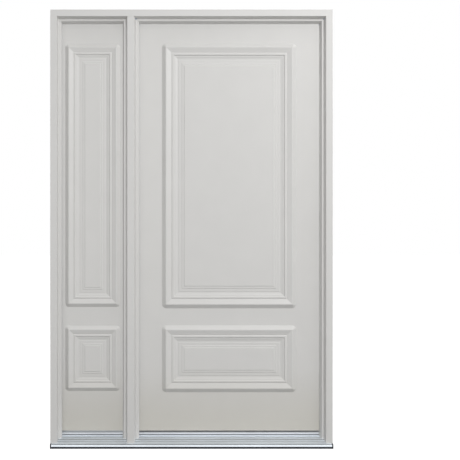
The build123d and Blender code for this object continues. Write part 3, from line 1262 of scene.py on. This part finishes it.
class PanelTree(PieceTree):
    """Lays a moulding round a rectangle and fills its field."""

    NAME = "moulded_panel"
    POINTS = "Rings"
    INPUTS = {
        "Width": "Float",
        "Height": "Float",
        "Field Inset": "Float",
        "Field Rise": "Float",
        "Corner Steps": "Int",
        "Place": "Vector",
        "Turn": "Vector",
    }

    def pieces(self) -> Socket:
        """Join the moulding, the field and the back.

        Returns:
            The output with the closed shell.
        """
        parts = self.add("GeometryNodeJoinGeometry", {0: self.moulding()})
        self.join(self.sheet_at(self.given["Field Rise"], False), parts.inputs[0])
        self.join(self.sheet_at(0.0, True), parts.inputs[0])
        weld = self.add("GeometryNodeMergeByDistance", {0: parts.outputs[0], "Distance": TINY})
        setting = {"Translation": self.given["Place"], "Rotation": self.given["Turn"]}
        return self.add("GeometryNodeTransform", {0: weld.outputs[0], **setting}).outputs[0]

    def moulding(self) -> Socket:
        """One ring of points for each point of the section, placed round the rectangle.

        Returns:
            The output with the moulding's mesh.
        """
        given = self.given
        size = {0: given["Rings"]}
        count = self.add("GeometryNodeAttributeDomainSize", size, component="MESH")
        corner_points = self.maths("ADD", given["Corner Steps"], 1.0)
        ring_points = self.maths("MULTIPLY", corner_points, 4.0)
        row = self.maths("ADD", ring_points, 1.0)
        counts = {"Vertices X": count.outputs["Point Count"], "Vertices Y": row}
        grid = self.add("GeometryNodeMeshGrid", counts)

        index = self.add("GeometryNodeInputIndex").outputs[0]
        ring, within = self.divided(index, row)
        around = self.maths("MODULO", within, ring_points)
        quarter, step = self.divided(around, corner_points)

        position = self.add("GeometryNodeInputPosition").outputs[0]
        asked = {0: given["Rings"], "Value": position, "Index": ring}
        sample = self.add(
            "GeometryNodeSampleIndex", asked, data_type="FLOAT_VECTOR", domain="POINT"
        )
        inset, rise, radius = self.add("ShaderNodeSeparateXYZ", {0: sample.outputs[0]}).outputs

        turned = self.maths("ADD", quarter, self.maths("DIVIDE", step, given["Corner Steps"]))
        angle = self.maths("MULTIPLY", turned, QUARTER_TURN)
        towards = self.maths("MULTIPLY", self.maths("ADD", quarter, 0.5), QUARTER_TURN)
        across = self.reach("COSINE", given["Width"], inset, radius, angle, towards)
        upwards = self.reach("SINE", given["Height"], inset, radius, angle, towards)

        moved = {0: grid.outputs["Mesh"], "Position": self.vector(across, upwards, rise)}
        place = self.add("GeometryNodeSetPosition", moved)
        return self.add("GeometryNodeFlipFaces", {0: place.outputs[0]}).outputs[0]

    def divided(self, number: Socket, size: Socket) -> tuple[Socket, Socket]:
        """Divide whole numbers without an error from rounding, into the quotient and the rest."""
        whole = self.maths("FLOOR", self.maths("DIVIDE", self.maths("ADD", number, 0.5), size))
        return whole, self.maths("SUBTRACT", number, self.maths("MULTIPLY", whole, size))

    def reach(
        self, wave: str, size: Socket, inset: Socket, radius: Socket, angle: Socket, towards: Socket
    ) -> Socket:
        """One coordinate of a ring's point.

        Args:
            wave: COSINE across the panel and SINE up it.
            size: the panel's width or height.
            inset: the ring's inset from the panel's edge.
            radius: the radius of the ring's corners.
            angle: the direction of the point from its corner's centre.
            towards: the direction of that corner from the panel's middle.

        Returns:
            The output with the coordinate.
        """
        half = self.maths("MULTIPLY", size, 0.5)
        centre = self.maths("SUBTRACT", self.maths("SUBTRACT", half, inset), radius)
        way = self.maths("SIGN", self.maths(wave, towards))
        offset = self.maths("MULTIPLY_ADD", centre, way, half)
        return self.maths("MULTIPLY_ADD", radius, self.maths(wave, angle), offset)

    def sheet_at(self, height: object, turned: bool) -> Socket:
        """A flat rectangle inside the moulding.

        Args:
            height: its height, as a number or an output.
            turned: whether it faces the slab.

        Returns:
            The output with its mesh.
        """
        sizes: Inputs = {}
        halves = []
        for size, axis in (("Width", "X"), ("Height", "Y")):
            whole = self.given[size]
            inner = self.maths("MULTIPLY_ADD", self.given["Field Inset"], -2.0, whole)
            sizes |= {f"Size {axis}": inner, f"Vertices {axis}": 2}
            halves.append(self.maths("MULTIPLY", whole, 0.5))
        grid = self.add("GeometryNodeMeshGrid", sizes)
        moved = {0: grid.outputs["Mesh"], "Translation": self.vector(*halves, height)}
        move = self.add("GeometryNodeTransform", moved)
        if not turned:
            return move.outputs[0]
        return self.add("GeometryNodeFlipFaces", {0: move.outputs[0]}).outputs[0]


@dataclass
class MouldedFaces:
    """The raised mouldings and stepped fields on both faces of a slab."""

    workshop: Workshop
    tree: PanelTree
    slab: str
    body: Body
    profile: MouldingProfile
    corner_steps: int = 8

    def build(self) -> None:
        """Make the four panels of the slab."""
        for level in ("upper", "lower"):
            for side in Side:
                self.build_panel(level, side)

    def build_panel(self, level: str, side: Side) -> None:
        """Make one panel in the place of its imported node.

        Args:
            level: upper or lower.
            side: the face that it is on.
        """
        node = f"{self.slab}_{level}_panel_{side.value}"
        low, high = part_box(node)
        rings = self.profile.rings()
        outside = side is Side.OUTSIDE
        mesh = self.tree.run(
            rings,
            {
                "Width": high.x - low.x,
                "Height": high.z - low.z,
                "Field Inset": rings[-1][0],
                "Field Rise": rings[-1][1],
                "Corner Steps": self.corner_steps,
                "Place": (low.x, high.y, low.z) if outside else (high.x, low.y, low.z),
                "Turn": (QUARTER_TURN, 0.0, 0.0 if outside else math.pi),
                "Material": self.workshop.materials[Slot.SLAB_PAINT],
            },
        )
        self.workshop.piece(f"{node}_moulded", mesh, Slot.SLAB_PAINT, self.body, (node,))


class ScrewTree(PieceTree):
    """Sets a countersunk screw at each point, turned by chance."""

    NAME = "countersunk_screws"
    POINTS = "Places"
    INPUTS = {
        "Head Radius": "Float",
        "Head Height": "Float",
        "Recess Width": "Float",
        "Turn": "Vector",
        "Seed": "Int",
    }
    SIDES = 24
    TOP_SHARE = 0.8
    RECESS_SHARE = 1.2

    def head(self) -> Socket:
        """One low cone with a cross cut into it, standing up along Z.

        Returns:
            The output with its mesh.
        """
        given = self.given
        radius, height, width = given["Head Radius"], given["Head Height"], given["Recess Width"]
        sizes = {
            "Vertices": self.SIDES,
            "Radius Top": self.maths("MULTIPLY", radius, self.TOP_SHARE),
            "Radius Bottom": radius,
            "Depth": height,
        }
        cone = self.add("GeometryNodeMeshCone", sizes)
        cross = self.add("GeometryNodeJoinGeometry")
        depth = self.maths("MULTIPLY", height, self.RECESS_SHARE)
        lift = self.vector(0.0, 0.0, height)
        for across, along in ((radius, width), (width, radius)):
            bar = self.add("GeometryNodeMeshCube", {"Size": self.vector(across, along, depth)})
            moved = {0: bar.outputs["Mesh"], "Translation": lift}
            self.join(self.add("GeometryNodeTransform", moved).outputs[0], cross.inputs[0])
        parts = {0: cone.outputs["Mesh"], 1: cross.outputs[0]}
        return self.add("GeometryNodeMeshBoolean", parts, operation="DIFFERENCE").outputs[0]

    def pieces(self) -> Socket:
        """Set the heads at the points, each turned by chance.

        Returns:
            The output with the screws.
        """
        given = self.given
        chance = {3: QUARTER_TURN, "Seed": given["Seed"]}
        spin = self.add("FunctionNodeRandomValue", chance, data_type="FLOAT")
        places = {0: given["Places"], "Instance": self.head(), "Rotation": given["Turn"]}
        screws = self.add("GeometryNodeInstanceOnPoints", places)
        turned = {0: screws.outputs[0], "Rotation": self.vector(0.0, 0.0, spin.outputs[1])}
        return self.add("GeometryNodeRotateInstances", turned).outputs[0]


@dataclass
class Hinges:
    """Butt hinges: eased leaves, barrels and pins, with their screws."""

    workshop: Workshop
    screws: ScrewTree
    ease: float = 0.45 * MM
    head_radius: float = 4.1 * MM
    head_height: float = 0.5 * MM
    recess_width: float = 1.1 * MM
    screw_rows: tuple[float, ...] = (0.14, 0.38, 0.62, 0.86)
    screw_columns: tuple[float, ...] = (0.3, 0.66)
    seed: int = 7
    leaf_spacing: float = 200.0 * MM

    @classmethod
    def leaf_boxes(cls, node: str) -> list[tuple[Vector, Vector]]:
        """The flat of each leaf in a node, found from its corners before the frame's inner edge.

        Args:
            node: hinge_frame_leaves or hinge_door_leaves.

        Returns:
            The lowest and highest corner of each leaf's flat.
        """
        inner_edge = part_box("left_jamb")[1].y + TINY
        places = [v.co.copy() for v in frame["nodes"][node].data.vertices if v.co.y <= inner_edge]
        places.sort(key=lambda place: place.z)
        groups: list[list[Vector]] = [[places[0]]]
        for place in places[1:]:
            if place.z - groups[-1][0].z > cls.leaf_spacing:
                groups.append([])
            groups[-1].append(place)
        return [(Vector(map(min, *group)), Vector(map(max, *group))) for group in groups]

    def build(self) -> None:
        """Make leaves, pins and screws."""
        bodies = {
            "hinge_frame_leaves": Body.FRAME,
            "hinge_door_leaves": Body.DOOR,
            "hinge_pins": Body.FRAME,
        }
        for node, body in bodies.items():
            self.workshop.eased(node, self.ease, Slot.HINGE_STEEL, body)
        self.set_screws("hinge_frame_leaves", Body.FRAME, -1)
        self.set_screws("hinge_door_leaves", Body.DOOR, 1)

    def set_screws(self, node: str, body: Body, facing: int) -> None:
        """Screw down the leaves of one body.

        Args:
            node: the leaves.
            body: the body that they ride on.
            facing: 1 where the leaves' open face looks towards +X, and -1 towards -X.
        """
        places = []
        for low, high in self.leaf_boxes(node):
            face = high.x if facing > 0 else low.x
            for number, row in enumerate(self.screw_rows):
                column = self.screw_columns[number % len(self.screw_columns)]
                depth = low.y + column * (high.y - low.y)
                places.append((face, depth, low.z + row * (high.z - low.z)))
        mesh = self.screws.run(
            places,
            {
                "Head Radius": self.head_radius,
                "Head Height": self.head_height,
                "Recess Width": self.recess_width,
                "Turn": (0.0, facing * QUARTER_TURN, 0.0),
                "Seed": self.seed,
                "Material": self.workshop.materials[Slot.HINGE_STEEL],
            },
        )
        self.workshop.piece(f"{body.value}_hinge_screws", mesh, Slot.HINGE_STEEL, body)


@dataclass
class Arrises:
    """Skins, edge timbers and the sill's plastic parts, with their edges slightly rounded."""

    workshop: Workshop
    skin: float = 0.5 * MM
    timber: float = 0.8 * MM
    plastic: float = 0.8 * MM

    def build(self) -> None:
        """Round the edges of the door's, the sidelight's and the sill's plain nodes."""
        ease = self.workshop.eased
        for slab, body in (("door", Body.DOOR), ("sidelight", Body.FRAME)):
            for face in ("exterior", "interior"):
                ease(f"{slab}_{face}_skin", self.skin, Slot.SLAB_PAINT, body)
        for part in ("hinge_stile", "latch_stile", "top_rail", "bottom_rail"):
            ease(f"door_{part}", self.timber, Slot.EDGE_TIMBER, Body.DOOR)
        for part in ("stiles", "rails"):
            ease(f"sidelight_{part}", self.timber, Slot.EDGE_TIMBER, Body.FRAME)
        for part in ("base", "end_caps"):
            ease(f"sill_{part}", self.plastic, Slot.SILL_COMPOSITE, Body.FRAME)


def eased_copy(node: str, radius: float, segments: int = 2) -> bpy.types.Mesh:
    """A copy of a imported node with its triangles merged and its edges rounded.

    Args:
        node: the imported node.
        radius: how far an edge is rounded.
        segments: how many runs the rounding has.

    Returns:
        The mesh.
    """
    shape = bmesh.new()
    shape.from_mesh(frame["nodes"][node].data)
    bmesh.ops.remove_doubles(shape, verts=shape.verts, dist=TINY)
    bmesh.ops.dissolve_limit(shape, angle_limit=FLAT_ANGLE, verts=shape.verts, edges=shape.edges)
    thing = new_object(f"{node}_blank", mesh_from(shape, node))
    bevel = thing.modifiers.new("eased", "BEVEL")
    bevel.width = radius
    bevel.segments = segments
    bevel.limit_method = "ANGLE"
    bevel.angle_limit = SHARP_ANGLE
    bevel.harden_normals = False
    return mesh_left(thing)


@dataclass(frozen=True)
class Lamp:
    """A soft round lamp, in metres and watts."""

    name: str
    place: Triple
    aim: Triple
    power: float
    shadow: bool = False
    size: float = 1.6

    def hang(self) -> None:
        """Put the lamp in the scene."""
        lamp = bpy.data.lights.new(self.name, "AREA")
        lamp.shape = "DISK"
        lamp.size = self.size
        lamp.energy = self.power
        lamp.use_shadow = self.shadow
        thing = bpy.data.objects.new(self.name, lamp)
        thing.location = self.place
        way = Vector(self.aim) - Vector(self.place)
        thing.rotation_euler = way.to_track_quat("-Z", "Y").to_euler()
        bpy.context.scene.collection.objects.link(thing)


@dataclass
class Studio:
    """Floor, world, lamps and the camera."""

    camera_place: Triple = (-176.0 * MM, -4000.0 * MM, 1051.8 * MM)
    lens: float = 64.9
    sensor: float = 36.0
    shift: float = 0.163
    ambient: float = 0.55
    floor_size: float = 60.0
    floor_tone: float = 0.33
    floor_glow: float = 0.86
    lamps: tuple[Lamp, ...] = (
        Lamp("key_lamp", (2.7, -3.6, 3.9), (0.0, 0.0, 0.7), 180.0),
        Lamp("fill_lamp", (-1.3, -2.8, 1.1), (0.0, 0.0, 2.0), 11.0),
        Lamp("back_lamp", (-2.7, 3.8, 3.6), (0.0, 0.1, 1.0), 115.0, shadow=True),
    )

    def build(self) -> None:
        """Set the scene round the object."""
        scene = bpy.context.scene
        scene.view_settings.view_transform = "Standard"
        self.make_world(scene)
        self.make_floor()
        for lamp in self.lamps:
            lamp.hang()
        self.make_camera(scene)

    @staticmethod
    def show(sheet: NodeSheet, lit: Socket, shown: Socket, output: str) -> None:
        """Use one shader for light, and another for what the camera, gloss and glass see.

        Args:
            sheet: the node tree.
            lit: the output of the shader for light.
            shown: the output of the other one.
            output: the type name of the tree's output node.
        """
        rays = sheet.add("ShaderNodeLightPath").outputs
        seen = sheet.maths("MAXIMUM", rays["Is Camera Ray"], rays["Is Glossy Ray"])
        seen = sheet.maths("MAXIMUM", seen, rays["Is Transmission Ray"])
        mix = sheet.add("ShaderNodeMixShader", {0: seen, 1: lit, 2: shown})
        sheet.add(output, {0: mix.outputs[0]})

    def make_world(self, scene: bpy.types.Scene) -> None:
        """An even pale room that shows white to the camera and in metal.

        Args:
            scene: the scene that gets it.
        """
        world = bpy.data.worlds.new("pale_room")
        world.use_nodes = True
        sheet = NodeSheet(world.node_tree)
        light = sheet.add("ShaderNodeBackground", {"Color": WHITE, "Strength": self.ambient})
        plain = sheet.add("ShaderNodeBackground", {"Color": WHITE})
        self.show(sheet, light.outputs[0], plain.outputs[0], "ShaderNodeOutputWorld")
        scene.world = world

    def make_floor(self) -> None:
        """A white floor that keeps a faint shadow."""
        shape = bmesh.new()
        bmesh.ops.create_grid(shape, x_segments=1, y_segments=1, size=self.floor_size / 2)
        floor = new_object("floor", mesh_from(shape, "floor"))
        material = bpy.data.materials.new("pale_floor")
        material.use_nodes = True
        sheet = NodeSheet(material.node_tree)
        grey = (self.floor_tone, self.floor_tone, self.floor_tone, 1.0)
        ground = sheet.add("ShaderNodeBsdfDiffuse", {"Color": grey})
        glow = sheet.add("ShaderNodeEmission", {"Strength": self.floor_glow})
        both = sheet.add("ShaderNodeAddShader", {0: ground.outputs[0], 1: glow.outputs[0]})
        self.show(sheet, ground.outputs[0], both.outputs[0], "ShaderNodeOutputMaterial")
        floor.data.materials.append(material)

    def make_camera(self, scene: bpy.types.Scene) -> None:
        """A level camera square to the unit, shifted to frame it.

        Args:
            scene: the scene that gets it.
        """
        camera = bpy.data.cameras.new("camera")
        camera.lens = self.lens
        camera.sensor_width = self.sensor
        camera.shift_x = self.shift
        camera.dof.use_dof = False
        thing = bpy.data.objects.new("camera", camera)
        thing.location = self.camera_place
        thing.rotation_euler = (QUARTER_TURN, 0.0, 0.0)
        scene.collection.objects.link(thing)
        scene.camera = thing


def main() -> None:
    """Build every sub-assembly in order and set the studio round it."""
    logging.basicConfig(level=logging.INFO, format="%(name)s %(message)s")
    workshop = Workshop()
    workshop.dress_nodes()
    sill = SillPlane()
    Surround(workshop, sill).build()
    Seals(workshop).build()
    SealantDabs(workshop).build()
    Sill(workshop, sill).build()
    panel_tree = PanelTree()
    MouldedFaces(workshop, panel_tree, "door", Body.DOOR, MouldingProfile()).build()
    small = MouldingProfile(scale=0.88)
    MouldedFaces(workshop, panel_tree, "sidelight", Body.FRAME, small).build()
    Hinges(workshop, ScrewTree()).build()
    Arrises(workshop).build()
    Studio().build()


if __name__ == "__main__":
    main()
